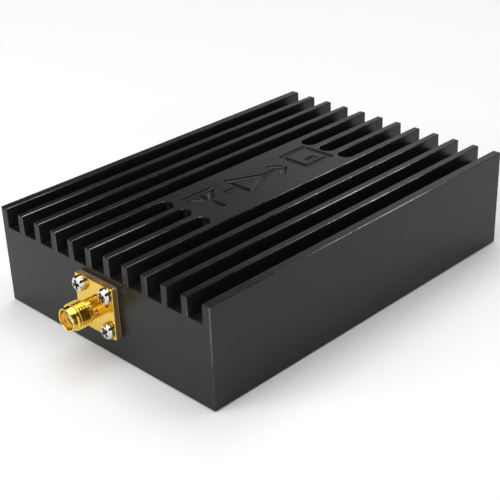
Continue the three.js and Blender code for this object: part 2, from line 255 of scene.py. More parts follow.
def light_the_studio():
    bpy.context.scene.view_settings.view_transform = "Standard"
    make_world()
    make_softbox("front", 195, 32, (1.0, 0.62), 12)
    make_softbox("right", 105, 14, (1.1, 0.5), 2)
    make_softbox("edges_far", 32.5, 35.5, (0.14, 0.14), 0.35)
    make_softbox("edges_near", 42.5, 50.5, (0.07, 0.25), 0.3)
    make_softbox("high_back", 325, 57, (0.8, 0.6), 2)
    make_softbox("overhead", 0, 88, (1.4, 1.4), 13)


# ---- Materials

class Paint:
    """A Principled material with its colour, roughness or bump worked out from procedural nodes."""

    def __init__(self, name, colour, roughness=0.5, metallic=0.0, **constants):
        self.material = bpy.data.materials.new(name)
        self.material.use_nodes = True
        self.tree = self.material.node_tree
        self.shader = self.tree.nodes["Principled BSDF"]
        self.shader.inputs["Base Color"].default_value = (*colour, 1)
        self.shader.inputs["Roughness"].default_value = roughness
        self.shader.inputs["Metallic"].default_value = metallic
        for socket, value in constants.items():
            self.shader.inputs[socket.replace("_", " ")].default_value = value
        coords = self.tree.nodes.new("ShaderNodeTexCoord")
        self.place = self.math("VectorMath", "SCALE", coords.outputs["Object"])
        self.place.node.inputs["Scale"].default_value = 1 / MM
        self.bumps = None

    def node(self, kind):
        return self.tree.nodes.new("ShaderNode" + kind)

    def feed(self, socket, value):
        if isinstance(value, bpy.types.NodeSocket):
            self.tree.links.new(value, socket)
        else:
            socket.default_value = value

    def math(self, kind, operation, *values):
        node = self.node(kind)
        node.operation = operation
        for socket, value in zip(node.inputs, values):
            self.feed(socket, value)
        return node.outputs[0]

    def add(self, first, second):
        return self.math("Math", "ADD", first, second)

    def times(self, first, second):
        return self.math("Math", "MULTIPLY", first, second)

    def stretched(self, x, y, z):
        """Coordinates in millimetres, times a factor on each axis."""
        return self.math("VectorMath", "MULTIPLY", self.place, (x, y, z))

    def noise(self, scale, detail, roughness=0.55, coords=None):
        """Soft blotches, about scale of them to a millimetre."""
        node = self.node("TexNoise")
        self.feed(node.inputs["Vector"], coords or self.place)
        node.inputs["Scale"].default_value = scale
        node.inputs["Detail"].default_value = detail
        node.inputs["Roughness"].default_value = roughness
        return node.outputs["Fac"]

    def remap(self, value, low, high, out_low=0.0, out_high=1.0):
        """Eases from out_low to out_high while value goes from low to high."""
        node = self.node("MapRange")
        node.interpolation_type = "SMOOTHSTEP"
        limits = (value, low, high, out_low, out_high)
        for socket, limit in zip(node.inputs, limits):
            self.feed(socket, limit)
        return node.outputs["Result"]

    def along(self, vector, axis):
        """How far a vector reaches along the axis, either way."""
        reach = self.math("VectorMath", "DOT_PRODUCT", vector, axis).node.outputs["Value"]
        return self.math("Math", "ABSOLUTE", reach)

    def facing(self, axis):
        """1 on surfaces that face along the axis, either way, and 0 elsewhere."""
        normal = self.node("TexCoord").outputs["Normal"]
        return self.remap(self.along(normal, axis), 0.85, 0.97)

    def blend(self, share, first, second):
        """The first colour where share is 0 and the second where it is 1."""
        node = self.node("Mix")
        node.data_type = "RGBA"
        self.feed(node.inputs["Factor"], share)
        for socket, colour in zip(node.inputs[6:8], (first, second)):
            value = colour if isinstance(colour, bpy.types.NodeSocket) else (*colour, 1)
            self.feed(socket, value)
        return node.outputs[2]

    def set(self, socket, value):
        self.feed(self.shader.inputs[socket], value)
        return self

    def bump(self, height, depth):
        """Raises the surface by depth millimetres where height is 1."""
        node = self.node("Bump")
        node.inputs["Strength"].default_value = 1.0
        node.inputs["Distance"].default_value = depth * MM
        self.feed(node.inputs["Height"], height)
        if self.bumps is not None:
            self.feed(node.inputs["Normal"], self.bumps)
        self.bumps = node.outputs["Normal"]
        self.set("Normal", self.bumps)
        return self


def anodised(name, finish, metallic=0.0):
    """Black anodised aluminium, with cutter lines on level faces and faint lines along the case.
    finish gives the colour and the roughness."""
    paint = Paint(name, (0.006, 0.006, 0.006), metallic=metallic, IOR=1.36)
    cloud = paint.noise(0.06, 4)
    grain = paint.noise(5.0, 2)
    cutter = paint.noise(1.0, 2, coords=paint.stretched(0.12, 1.5, 0.12))
    cutter = paint.times(cutter, paint.facing((0, 0, 1)))
    drawn = paint.noise(1.0, 2, coords=paint.stretched(1.4, 0.03, 1.4))
    tint, rough = finish(paint, cloud, grain, cutter)
    paint.set("Base Color", tint).set("Roughness", rough)
    paint.bump(grain, 0.004).bump(cutter, 0.02).bump(drawn, 0.004)
    return paint.material


def painted_groove_light(paint, cloud, grain, cutter):
    """Painted light lifts the grooves' walls a little, over a cloudy dark tint."""
    dark, light = (0.0048, 0.0048, 0.0049), (0.0072, 0.0072, 0.0073)
    painted_light_tint = (0.015, 0.015, 0.0148)
    tint = paint.blend(paint.remap(cloud, 0.3, 0.7), dark, light)
    across = paint.along(paint.place, (1, 0, 0))
    in_grooves = paint.remap(across, CASE_W / 2 - 1, CASE_W / 2 - 0.5, 1, 0)
    # painted light: walls inside the grooves that face along X get a lighter grey
    tint = paint.blend(paint.times(in_grooves, paint.facing((1, 0, 0))), tint, painted_light_tint)
    rough = paint.remap(cloud, 0.25, 0.75, 0.20, 0.28)
    rough = paint.add(rough, paint.times(cutter, 0.06))
    return tint, paint.add(rough, paint.times(grain, 0.03))


def worn(paint, cloud, grain, cutter):
    """Worn edges are thinly anodised, so that they shine more, and bare in spots."""
    thin, thinner = (0.03, 0.03, 0.031), (0.11, 0.11, 0.113)
    bare = (0.32, 0.32, 0.33)
    rubbed = paint.remap(paint.noise(0.09, 3), 0.35, 0.65)
    spots = paint.remap(paint.noise(0.9, 5, 0.7), 0.58, 0.74)
    tint = paint.blend(spots, paint.blend(rubbed, thin, thinner), bare)
    return tint, paint.remap(cloud, 0.25, 0.75, 0.08, 0.13)


def gold_plate(name="gold_plate", bright=(0.86, 0.60, 0.13), dull=(0.79, 0.51, 0.08), rough=0.13):
    paint = Paint(name, bright, metallic=1.0)
    smear = paint.noise(0.5, 3)
    turned = paint.noise(1.0, 2, coords=paint.stretched(0.3, 9.0, 0.3))
    paint.set("Base Color", paint.blend(smear, bright, dull))
    paint.set("Roughness", paint.remap(smear, 0.3, 0.7, rough, rough + 0.09))
    paint.bump(turned, 0.004).bump(paint.noise(1.6, 2), 0.012)
    return paint.material


def nickel_plate(name="nickel_plate", bright=(0.78, 0.77, 0.75), dull=(0.62, 0.60, 0.58), rough=0.08):
    paint = Paint(name, bright, metallic=1.0)
    smear = paint.noise(1.2, 3)
    paint.set("Base Color", paint.blend(smear, bright, dull))
    paint.set("Roughness", paint.remap(smear, 0.3, 0.7, rough, rough + 0.12))
    paint.bump(paint.noise(2.0, 2), 0.01)
    return paint.material


def black_steel():
    paint = Paint("black_steel", (0.03, 0.03, 0.032), metallic=0.85)
    smear = paint.noise(1.0, 3)
    paint.set("Base Color", paint.blend(smear, (0.025, 0.025, 0.027), (0.06, 0.058, 0.056)))
    paint.set("Roughness", paint.remap(smear, 0.3, 0.7, 0.3, 0.45))
    paint.bump(paint.noise(4.0, 2), 0.008)
    return paint.material


def white_ptfe():
    paint = Paint("white_ptfe", (0.82, 0.8, 0.74), Subsurface_Weight=0.2)
    paint.shader.inputs["Subsurface Radius"].default_value = (0.0006, 0.0005, 0.0004)
    smear = paint.noise(1.5, 3)
    paint.set("Base Color", paint.blend(smear, (0.84, 0.81, 0.74), (0.76, 0.72, 0.62)))
    paint.set("Roughness", paint.remap(smear, 0.3, 0.7, 0.4, 0.55))
    paint.bump(paint.noise(6.0, 2), 0.01)
    return paint.material


def green_board():
    """A circuit board, with long bricks' outlines standing for its tracks."""
    paint = Paint("green_board", (0.02, 0.16, 0.06), IOR=1.5)
    traces = paint.node("TexBrick")
    paint.feed(traces.inputs["Vector"], paint.place)
    settings = {"Scale": 1.0, "Mortar Size": 0.18, "Brick Width": 5.2, "Row Height": 1.3}
    for socket, value in settings.items():
        traces.inputs[socket].default_value = value
    weave = paint.noise(1.0, 1, coords=paint.stretched(3.0, 3.0, 3.0))
    base = paint.blend(weave, (0.014, 0.13, 0.045), (0.022, 0.17, 0.065))
    paint.set("Base Color", paint.blend(traces.outputs["Fac"], base, (0.05, 0.27, 0.10)))
    paint.set("Roughness", paint.remap(weave, 0.3, 0.7, 0.25, 0.4))
    paint.bump(traces.outputs["Fac"], 0.03)
    return paint.material


def tin_plate():
    paint = Paint("tin_plate", (0.55, 0.55, 0.55), metallic=0.95)
    smear = paint.noise(0.3, 4)
    scratches = paint.noise(1.0, 2, coords=paint.stretched(0.2, 5.0, 1.0))
    paint.set("Base Color", paint.blend(smear, (0.60, 0.60, 0.59), (0.46, 0.46, 0.47)))
    rough = paint.remap(smear, 0.3, 0.7, 0.25, 0.4)
    paint.set("Roughness", paint.add(rough, paint.times(scratches, 0.1)))
    paint.bump(scratches, 0.008)
    return paint.material


def moulded(name, dark, light, rough):
    paint = Paint(name, dark, IOR=1.5)
    cloud = paint.noise(0.4, 3)
    paint.set("Base Color", paint.blend(cloud, dark, light))
    paint.set("Roughness", paint.remap(cloud, 0.3, 0.7, rough - 0.06, rough + 0.06))
    paint.bump(paint.noise(9.0, 2), 0.02)
    return paint.material


def clear_lens():
    paint = Paint("clear_lens", (0.8, 0.9, 0.84), Transmission_Weight=0.6, IOR=1.49)
    haze = paint.noise(1.0, 3)
    paint.set("Base Color", paint.blend(haze, (0.82, 0.92, 0.86), (0.70, 0.82, 0.76)))
    paint.set("Roughness", paint.remap(haze, 0.3, 0.7, 0.08, 0.2))
    paint.bump(paint.noise(3.0, 2), 0.006)
    return paint.material


light_the_studio()
MATERIALS = {
    "black_anodised": anodised("black_anodised", painted_groove_light),
    "worn_edge": anodised("worn_edge", worn, metallic=0.8),
    "gold_plate": gold_plate(),
    # painted highlight: a pale, dull rim stands in for the glint along the flange's rear edge
    "painted_rim_highlight": moulded("painted_rim_highlight", (0.46, 0.41, 0.32), (0.30, 0.27, 0.20), 0.5),
    # rougher, as milled, and a darker gold that paints shade on the flange's sides
    "milled_gold_painted_shade": gold_plate("milled_gold_painted_shade", (0.60, 0.39, 0.17), (0.45, 0.27, 0.10), 0.45),
    "nickel_plate": nickel_plate(),
    # painted shade: a dark, rougher nickel for the inside of the cross recess
    "nickel_recess_painted_shade": nickel_plate("nickel_recess_painted_shade", (0.20, 0.19, 0.18), (0.08, 0.08, 0.075), 0.4),
    "black_steel": black_steel(),
    "white_ptfe": white_ptfe(),
    "green_board": green_board(),
    "tin_plate": tin_plate(),
    "black_plastic": moulded("black_plastic", (0.012, 0.012, 0.012), (0.02, 0.02, 0.02), 0.5),
    "chip_black": moulded("chip_black", (0.016, 0.016, 0.018), (0.03, 0.03, 0.032), 0.45),
    "ceramic": moulded("ceramic", (0.60, 0.55, 0.43), (0.70, 0.66, 0.55), 0.4),
    "clear_lens": clear_lens(),
    "grey_pad": moulded("grey_pad", (0.24, 0.26, 0.29), (0.33, 0.35, 0.38), 0.8),
}
make_camera()
make_floor()


# ---- Mesh tools

SHARP = math.radians(28)  # an edge that turns more than this can be bevelled


def shape(name, mesh_data):
    """An object from a bmesh whose places are in millimetres."""
    bmesh.ops.scale(mesh_data, vec=(MM, MM, MM), verts=mesh_data.verts)
    bmesh.ops.recalc_face_normals(mesh_data, faces=mesh_data.faces)
    mesh = bpy.data.meshes.new(name)
    mesh_data.to_mesh(mesh)
    mesh_data.free()
    return link(bpy.data.objects.new(name, mesh))


def prism_faces(mesh_data, outline, low, high):
    """Adds a solid with a flat outline in X and Y and a thickness along Z."""
    bottom = [mesh_data.verts.new((x, y, low)) for x, y in outline]
    top = [mesh_data.verts.new((x, y, high)) for x, y in outline]
    mesh_data.faces.new(bottom[::-1])
    mesh_data.faces.new(top)
    for i, vert in enumerate(bottom):
        after = (i + 1) % len(outline)
        mesh_data.faces.new((vert, bottom[after], top[after], top[i]))


def prism(name, outline, low, high):
    mesh_data = bmesh.new()
    prism_faces(mesh_data, outline, low, high)
    return shape(name, mesh_data)


def rectangle(x_low, y_low, x_high, y_high):
    return [(x_low, y_low), (x_high, y_low), (x_high, y_high), (x_low, y_high)]


def arc(centre, radius, start, end, steps):
    """Points round a centre from one angle in degrees to another."""
    points = []
    for step in range(steps + 1):
        angle = math.radians(start + (end - start) * step / steps)
        points.append((centre[0] + radius * math.cos(angle), centre[1] + radius * math.sin(angle)))
    return points


def dome(radius, base, rise, steps):
    """A profile's points over a rounded end, up to the axis."""
    angles = [i * math.pi / (2 * steps) for i in range(steps)]
    return [(radius * math.cos(a), base + rise * math.sin(a)) for a in angles] + [(0, base + rise)]


def ring(mesh_data, radius, height, facets, centre=(0, 0)):
    """Adds a ring of corners about Z, or a single corner where the radius is 0."""
    verts = []
    for i in range(facets if radius else 1):
        angle = 2 * math.pi * i / facets
        x, y = centre[0] + radius * math.cos(angle), centre[1] + radius * math.sin(angle)
        verts.append(mesh_data.verts.new((x, y, height)))
    return verts


def turned_faces(mesh_data, profile, facets, centre=(0, 0)):
    """Adds a solid of revolution about Z. The profile's (radius, height) points close on themselves,
    unless they start and end on the axis."""
    rings = [ring(mesh_data, radius, height, facets, centre) for radius, height in profile]
    if profile[0][0] > 0:
        rings.append(rings[0])
    for first, second in zip(rings, rings[1:]):
        for i in range(facets):
            after = (i + 1) % facets
            corners = [first[i % len(first)], first[after % len(first)]]
            corners += [second[after % len(second)], second[i % len(second)]]
            unique = list(dict.fromkeys(corners))
            if len(unique) > 2:
                mesh_data.faces.new(unique)


def turned(name, profile, facets=64):
    mesh_data = bmesh.new()
    turned_faces(mesh_data, profile, facets)
    return shape(name, mesh_data)


def rods(name, places, radius, low, high, facets=32):
    """Several upright rods in one mesh, for cutting holes."""
    mesh_data = bmesh.new()
    for place in places:
        turned_faces(mesh_data, [(0, low), (radius, low), (radius, high), (0, high)], facets, place)
    return shape(name, mesh_data)


def box(name, low, high):
    return prism(name, rectangle(low[0], low[1], high[0], high[1]), low[2], high[2])


def turn(obj, matrix):
    obj.data.transform(matrix)
    return obj


def middle_of(node):
    """The middle of a CAD node's box, in millimetres."""
    low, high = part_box(node)
    return (low + high) / 2 / MM


def combine(target, tool, operation):
    """Joins tool to target, or cuts it away, and discards the tool."""
    modifier = target.modifiers.new(operation, "BOOLEAN")
    modifier.object = tool
    modifier.operation = operation
    modifier.solver = "EXACT"
    settle(target)
    bpy.data.objects.remove(tool)
    return target


def settle(obj):
    """Applies an object's modifiers to its mesh and joins the corners that they leave a hair apart."""
    bpy.context.view_layer.update()
    graph = bpy.context.evaluated_depsgraph_get()
    mesh = bpy.data.meshes.new_from_object(obj.evaluated_get(graph))
    obj.modifiers.clear()
    obj.data = mesh
    tidied = bmesh.new()
    tidied.from_mesh(mesh)
    bmesh.ops.remove_doubles(tidied, verts=tidied.verts, dist=JOIN * MM)
    tidied.to_mesh(mesh)
    tidied.free()


def cut(target, tool):
    return combine(target, tool, "DIFFERENCE")


def weld(target, tool):
    return combine(target, tool, "UNION")


def bevel_edges(obj, width, share, segments=3, edge_slot=-1):
    """Rounds the sharp outer edges. share(middle) gives how much of the width an edge gets, from its
    middle, and edge_slot is the material slot for the new faces."""
    mesh = bmesh.new()
    mesh.from_mesh(obj.data)
    layer = mesh.edges.layers.float.new("bevel_weight_edge")
    for edge in mesh.edges:
        if len(edge.link_faces) != 2 or not edge.is_convex:
            continue
        if edge.calc_face_angle(0) < SHARP:
            continue
        edge[layer] = share((edge.verts[0].co + edge.verts[1].co) / 2 / MM)
    mesh.to_mesh(obj.data)
    mesh.free()
    modifier = obj.modifiers.new("bevel", "BEVEL")
    modifier.limit_method = "WEIGHT"
    modifier.width = width * MM
    modifier.segments = segments
    modifier.use_clamp_overlap = False
    modifier.material = edge_slot
    settle(obj)
    return obj


def finish_shading(obj, angle):
    """Smooth shading with the flat faces kept flat. Edges that turn more than the angle stay sharp."""
    obj.data.shade_smooth()
    obj.data.set_sharp_from_angle(angle=math.radians(angle))
    modifier = obj.modifiers.new("normals", "WEIGHTED_NORMAL")
    modifier.keep_sharp = True
    modifier.weight = 90


def dress(obj, *names):
    """Gives an object its material slots."""
    for name in names:
        obj.data.materials.append(MATERIALS[name])
    return obj


def piece(obj, slot, node, smooth_angle=32):
    """Makes an object part of the booster, in place of a CAD node."""
    if not obj.data.materials:
        dress(obj, slot)
    finish_shading(obj, smooth_angle)
    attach(obj, "root")
    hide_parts(node)


# ---- Case

def groove_cutters():
    """The tools that cut the grooves. The middle ones stop at round ends, which leaves the pad."""
    mesh_data = bmesh.new()
    half = GROOVE_W / 2
    outer = CASE_L / 2 + OVER
    low, high = CASE_H - GROOVE_DEPTH, CASE_H + OVER
    for i in range(GROOVES):
        steps = i - (GROOVES - 1) // 2
        x = steps * GROOVE_PITCH
        if abs(steps) > (PAD_GROOVES - 1) // 2:
            prism_faces(mesh_data, rectangle(x - half, -outer, x + half, outer), low, high)
            continue
        for end in (-1, 1):
            centre = (x, end * (PAD_L / 2 + half))
            outline = [(x + half, end * outer), (x - half, end * outer)]
            outline += arc(centre, half, 180, 180 + 180 * end, 20)
            prism_faces(mesh_data, outline, low, high)
    return shape("grooves", mesh_data)


def posts():
    """The places of the six posts that the cover's screws go into."""
    places = []
    for x in (-1, 1):
        for y in (-1, 0, 1):
            places.append((x * (CASE_W / 2 - WALL - BOSS / 2), y * (CASE_L / 2 - WALL - BOSS / 2)))
    return places


def cavity_outline(x, y):
    """A rectangle that goes round the six posts."""
    post_x, post_y, half = x - BOSS, y - BOSS, BOSS / 2
    right = [(post_x, -y), (post_x, -post_y), (x, -post_y), (x, -half), (post_x, -half)]
    right += [(across, -along) for across, along in reversed(right)]
    return right + [(-across, -along) for across, along in right]


def board_screw_places():
    found = []
    for i in range(1, 6):
        low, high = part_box(f"board_screw_{i}")
        found.append(((low.x + high.x) / 2 / MM, (low.y + high.y) / 2 / MM))
    return found


def flange_holes():
    half = FLANGE_HOLES / 2
    return [(x, y) for x in (-half, half) for y in (-half, half)]


def end_frame(end, across=0, height=JACK_Z):
    """Places what is built about Z on an end wall, with +Z outwards and +Y up."""
    rear = end == "rear"
    place = Matrix.Translation(Vector((-across if rear else across, -CASE_L / 2, height)) * MM)
    outward = place @ Matrix.Rotation(math.pi / 2, 4, "X")
    return Matrix.Rotation(math.pi, 4, "Z") @ outward if rear else outward


def stroke(start, end, width):
    """A rounded bar's outline between two points."""
    along = Vector(end) - Vector(start)
    angle = math.degrees(math.atan2(along.y, along.x))
    first = arc(start, width / 2, angle + 90, angle + 270, 8)
    return first + arc(end, width / 2, angle - 90, angle + 90, 8)


def mark_strokes():
    """An antenna, an amplifier's triangle and a handset, read along +Y with their tops towards -X."""
    antenna = [((-21, 4.2), (-12.6, 4.2)), ((-21, 4.2), (-16.8, -0.6)), ((-12.6, 4.2), (-16.8, -0.6))]
    antenna += [((-16.8, 4.2), (-16.8, -4.2))]
    amplifier = [((-7.2, 4.2), (-7.2, -4.2)), ((-7.2, 4.2), (1.6, 0)), ((-7.2, -4.2), (1.6, 0))]
    wires = [((-11.6, 0), (-7.2, 0)), ((1.6, 0), (8.2, 0))]
    wires += [((5.4, 2.4), (8.2, 0)), ((5.4, -2.4), (8.2, 0))]
    handset = [((12.2, 4.2), (20.6, 4.2)), ((20.6, 4.2), (20.6, -4.2)), ((20.6, -4.2), (12.2, -4.2))]
    handset += [((12.2, -4.2), (12.2, 4.2)), ((15.2, -1.6), (17.6, -1.6))]
    return antenna + wires + amplifier + handset


def mark_height(point):
    """How high the engraving's tool lies over the pad at a point, from how near a stroke is."""
    widths = []
    for start, end in mark_strokes():
        along = Vector(end) - Vector(start)
        share = min(max((point - Vector(start)).dot(along) / along.length_squared, 0), 1)
        widths.append(2 * (point - Vector(start) - along * share).length)
    width = min(widths)
    for (near, low), (far, high) in zip(MARK_PROFILE, MARK_PROFILE[1:]):
        if width < far:
            return low + (high - low) * max(width - near, 0) / (far - near)
    return MARK_PROFILE[-1][1]


def marks():
    """The tool that engraves the symbols: a slab whose underside dips along every stroke."""
    corners = []
    outlines = []
    for start, end in mark_strokes():
        for width, _ in MARK_PROFILE:
            outline = stroke(start, end, width)
            outlines.append(list(range(len(corners), len(corners) + len(outline))))
            corners += [Vector(corner) for corner in outline]
    points, _, parts, _, _, sources = delaunay_2d_cdt(corners, [], outlines, 1, MARK_JOIN)
    mesh_data = bmesh.new()
    under = []
    over = []
    for point in points:
        across, along = MARK_CENTRE[0] - point.y, MARK_CENTRE[1] + point.x
        under.append(mesh_data.verts.new((across, along, CASE_H + mark_height(point))))
        over.append(mesh_data.verts.new((across, along, CASE_H + MARK_TOOL_TOP)))
    sides = {}
    for part, source in zip(parts, sources):
        if not source:
            continue
        mesh_data.faces.new([under[i] for i in part])
        mesh_data.faces.new([over[i] for i in reversed(part)])
        for side in zip(part, part[1:] + part[:1]):
            sides[side] = True
    for first, second in sides:
        if (second, first) not in sides:
            mesh_data.faces.new((under[first], over[first], over[second], under[second]))
    loose = [vert for vert in mesh_data.verts if not vert.link_faces]
    bmesh.ops.delete(mesh_data, geom=loose, context="VERTS")
    return shape("marks", mesh_data)


def drill_holes(case):
    """The holes for screws, contacts, inlet and light, which the other pieces pass through."""
    cover_tap_r = COVER_SCREW["shank_r"] + TAPPED
    cut(case, rods("cover_taps", posts(), cover_tap_r, 0, COVER_SCREW["length"] + CLEAR))
    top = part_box("circuit_board")[0].z / MM + BOARD_SCREW["length"] + CLEAR
    cut(case, rods("board_taps", board_screw_places(), BOARD_SCREW["shank_r"] + TAPPED, COVER_T, top))
    depth = JACK_SCREW["length"] - FLANGE_T + CLEAR
    inside = -WALL - OVER
    for end in ("front", "rear"):
        taps = rods("taps", flange_holes(), JACK_SCREW["shank_r"] + TAPPED, -depth, OVER)
        cut(case, turn(taps, end_frame(end)))
        bore = rods("bore", [(0, 0)], INSULATOR_R + CLEAR, inside, OVER)
        cut(case, turn(bore, end_frame(end)))
    for node, radius in (("power_inlet_body", INLET_NOSE_R), ("status_light_pipe", LIGHT_R)):
        middle = middle_of(node)
        r = radius + CLEAR
        mouth = [(r, -MOUTH_CHAMFER), (r + MOUTH_CHAMFER + OVER, OVER), (0, OVER)]
        hole = turned("hole", [(0, inside), (r, inside)] + mouth)
        cut(case, turn(hole, end_frame("rear", middle.x, middle.z)))


def make_case():
    x, y = CASE_W / 2, CASE_L / 2
    case = dress(box("case", (-x, -y, 0), (x, y, CASE_H)), "black_anodised", "worn_edge")
    cut(case, groove_cutters())

    def share(middle):
        upright_corner = abs(middle.x) > x - NEAR and abs(middle.y) > y - NEAR
        return CORNER_SHARE if upright_corner else EDGE_SHARE

    # The bevel comes before the holes, whose cuts would pull its corners out of line.
    bevel_edges(case, BEVEL, share, segments=1, edge_slot=1)
    inner_x, inner_y = x - WALL, y - WALL
    ledge_x, ledge_y = inner_x + COVER_LEDGE, inner_y + COVER_LEDGE
    roof = CASE_H - GROOVE_DEPTH - ROOF_T
    cut(case, box("recess", (-ledge_x, -ledge_y, -OVER), (ledge_x, ledge_y, COVER_T)))
    cut(case, prism("cavity", cavity_outline(inner_x, inner_y), -OVER, roof))
    board_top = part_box("circuit_board")[1].z / MM
    weld(case, rods("standoffs", board_screw_places(), STANDOFF_R, board_top, roof + OVER / 2))
    drill_holes(case)
    cut(case, marks())
    piece(case, "black_anodised", "case_body")


def make_cover():
    x, y = CASE_W / 2 - WALL + COVER_LEDGE - CLEAR, CASE_L / 2 - WALL + COVER_LEDGE - CLEAR
    cover = dress(box("cover", (-x, -y, 0), (x, y, COVER_T)), "black_anodised", "worn_edge")
    head_r, shank_r = COVER_SCREW["head_r"] + CLEAR, COVER_SCREW["shank_r"] + CLEAR
    top = COVER_T + OVER
    profile = [(0, -OVER), (head_r, -OVER), (head_r, FLAT_HEAD_RIM + CLEAR)]
    profile += [(shank_r, COVER_SCREW["head_h"] + CLEAR), (shank_r, top), (0, top)]
    seats = bmesh.new()
    for place in posts():
        turned_faces(seats, profile, 48, place)
    cut(cover, shape("seats", seats))

    def share(middle):
        return COVER_SHARE if middle.z < NEAR or middle.z > COVER_T - NEAR else 0

    bevel_edges(cover, BEVEL, share, edge_slot=1)
    piece(cover, "black_anodised", "bottom_cover")


# ---- Screws, standing on the XY plane with their heads above it

def cross_recess(reach, top):
    """The tool that cuts a cross recess: a cross that narrows as it goes down, with a pointed end."""
    mesh_data = bmesh.new()
    rings = []
    deep = reach * 0.95
    # Each level is an arm's length, half its width, and its height.
    mouth = (reach * 1.12, reach * 0.32, top + 0.3)
    bottom = (reach * 0.45, reach * 0.22, top - deep)
    for arm, half, height in (mouth, bottom):
        right = [(half, arm), (half, half), (arm, half), (arm, -half), (half, -half), (half, -arm)]
        outline = right + [(-x, -y) for x, y in right]
        rings.append([mesh_data.verts.new((x, y, height)) for x, y in outline])
    point = mesh_data.verts.new((0, 0, top - deep - reach * 0.2))
    mesh_data.faces.new(rings[0])
    for i, vert in enumerate(rings[0]):
        after = (i + 1) % len(rings[0])
        mesh_data.faces.new((vert, rings[0][after], rings[1][after], rings[1][i]))
        mesh_data.faces.new((rings[1][i], rings[1][after], point))
    return shape("recess", mesh_data)


def shank(size, top):
    """A shank's profile from its end up to the head's underside, with rings for the thread."""
    crest, root = size["shank_r"], size["shank_r"] - SCREW_THREAD_DEPTH
    height = -size["length"]
    points = [(0, height), (root, height)]
    while height + SCREW_PITCH < top - SCREW_NECK:
        points += [(crest, height + SCREW_PITCH * 0.4), (crest, height + SCREW_PITCH * 0.6)]
        height += SCREW_PITCH
        points.append((root, height))
    points.append((root, top))
    return points


def pan_head(name, size):
    """The head's side bulges a little and its top is a shallow dome."""
    head_r, head_h = size["head_r"], size["head_h"]
    rim, flat = head_h * 0.4, head_r * 0.5
    chamfer = 0.08
    profile = shank(size, 0) + [(head_r - chamfer, 0), (head_r, chamfer)]
    steps = 8
    for step in range(steps + 1):
        angle = step / steps * math.pi / 2
        r = flat + (head_r - flat) * math.cos(angle) ** 0.8
        profile.append((r, rim + (head_h - rim) * math.sin(angle)))
    profile.append((0, head_h))
    screw = turned(name, profile, 48)
    cut(screw, cross_recess(size["reach"], head_h))
    return bevel_edges(screw, SCREW_BEVEL, lambda middle: 1 if middle.z > rim else 0, segments=2)


def flat_head(name, size):
    """A countersunk screw, all below the XY plane."""
    head_r = size["head_r"]
    chamfer = 0.06
    profile = shank(size, -size["head_h"]) + [(head_r, -FLAT_HEAD_RIM)]
    profile += [(head_r, -chamfer), (head_r - chamfer, 0), (0, 0)]
    screw = turned(name, profile, 48)
    cut(screw, cross_recess(size["reach"], 0))
    return bevel_edges(screw, SCREW_BEVEL, lambda middle: 1 if middle.z > -0.1 else 0, segments=2)


def paint_recess_shade(screw, reach):
    """Gives the faces inside the recess the second material, a dark nickel that paints the recess's
    shade. They are steep, high and near the axis.
    """
    for face in screw.data.polygons:
        middle = face.center / MM
        near = math.hypot(middle.x, middle.y) < reach * 1.1
        steep = abs(face.normal.z) < 0.6
        high = middle.z > -reach * 1.2
        face.material_index = 1 if near and steep and high else 0


def place_screw(master, node, stand, degrees, slot):
    """A copy of a screw, turned about its own axis and stood where its CAD node is."""
    screw = link(bpy.data.objects.new(node + "_detail", master.data.copy()))
    turn(screw, stand @ Matrix.Rotation(math.radians(degrees), 4, "Z"))
    piece(screw, slot, node, smooth_angle=25)


def make_screws():
    upside_down = Matrix.Rotation(math.pi, 4, "X")
    # the second slot paints shade into the cross recess
    jack = dress(pan_head("jack_screw", JACK_SCREW), "nickel_plate", "nickel_recess_painted_shade")
    paint_recess_shade(jack, JACK_SCREW["reach"])
    turns = {"front": (68, 12, 40, 27), "rear": (15, 50, 5, 33)}
    for end in ("front", "rear"):
        for i, (x, y) in enumerate(flange_holes()):
            stand = end_frame(end) @ Matrix.Translation(Vector((x, y, FLANGE_T)) * MM)
            place_screw(jack, f"{end}_jack_screw_{i + 1}", stand, turns[end][i], "nickel_plate")
    bpy.data.objects.remove(jack)
    board = pan_head("board_screw", BOARD_SCREW)
    for i, (x, y) in enumerate(board_screw_places()):
        head_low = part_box(f"board_screw_{i + 1}")[0].z
        stand = Matrix.Translation((x * MM, y * MM, head_low + BOARD_SCREW["head_h"] * MM)) @ upside_down
        place_screw(board, f"board_screw_{i + 1}", stand, 31 * i, "nickel_plate")
    bpy.data.objects.remove(board)
    cover = flat_head("cover_screw", COVER_SCREW)
    for i, (x, y) in enumerate(posts()):
        stand = Matrix.Translation((x * MM, y * MM, 0)) @ upside_down
        place_screw(cover, f"cover_screw_{i + 1}", stand, 47 * i, "black_steel")
    bpy.data.objects.remove(cover)


# ---- Jacks, built about Z with the flange's back on the XY plane

def thread_radius(turns):
    """A 60 degree thread's radius, where turns counts pitches along the barrel."""
    share = turns % 1
    flat_root, flat_crest = 0.25, 0.125
    rise = (1 - flat_root - flat_crest) / 2
    if share < flat_root:
        height = 0
    elif share < flat_root + rise:
        height = (share - flat_root) / rise
    elif share < flat_root + rise + flat_crest:
        height = 1
    else:
        height = (1 - share) / rise
    return THREAD_R - THREAD_DEPTH * (1 - height)


def outside_radius(turns, height):
    """The thread, chamfered where it meets the neck and the nose."""
    neck_slope, nose_slope = 1.2, 1.1
    from_neck = NECK_R + (height - NECK_END) * neck_slope
    from_nose = NOSE_R + (THREAD_END - height) * nose_slope
    return min(thread_radius(turns), from_neck, from_nose)


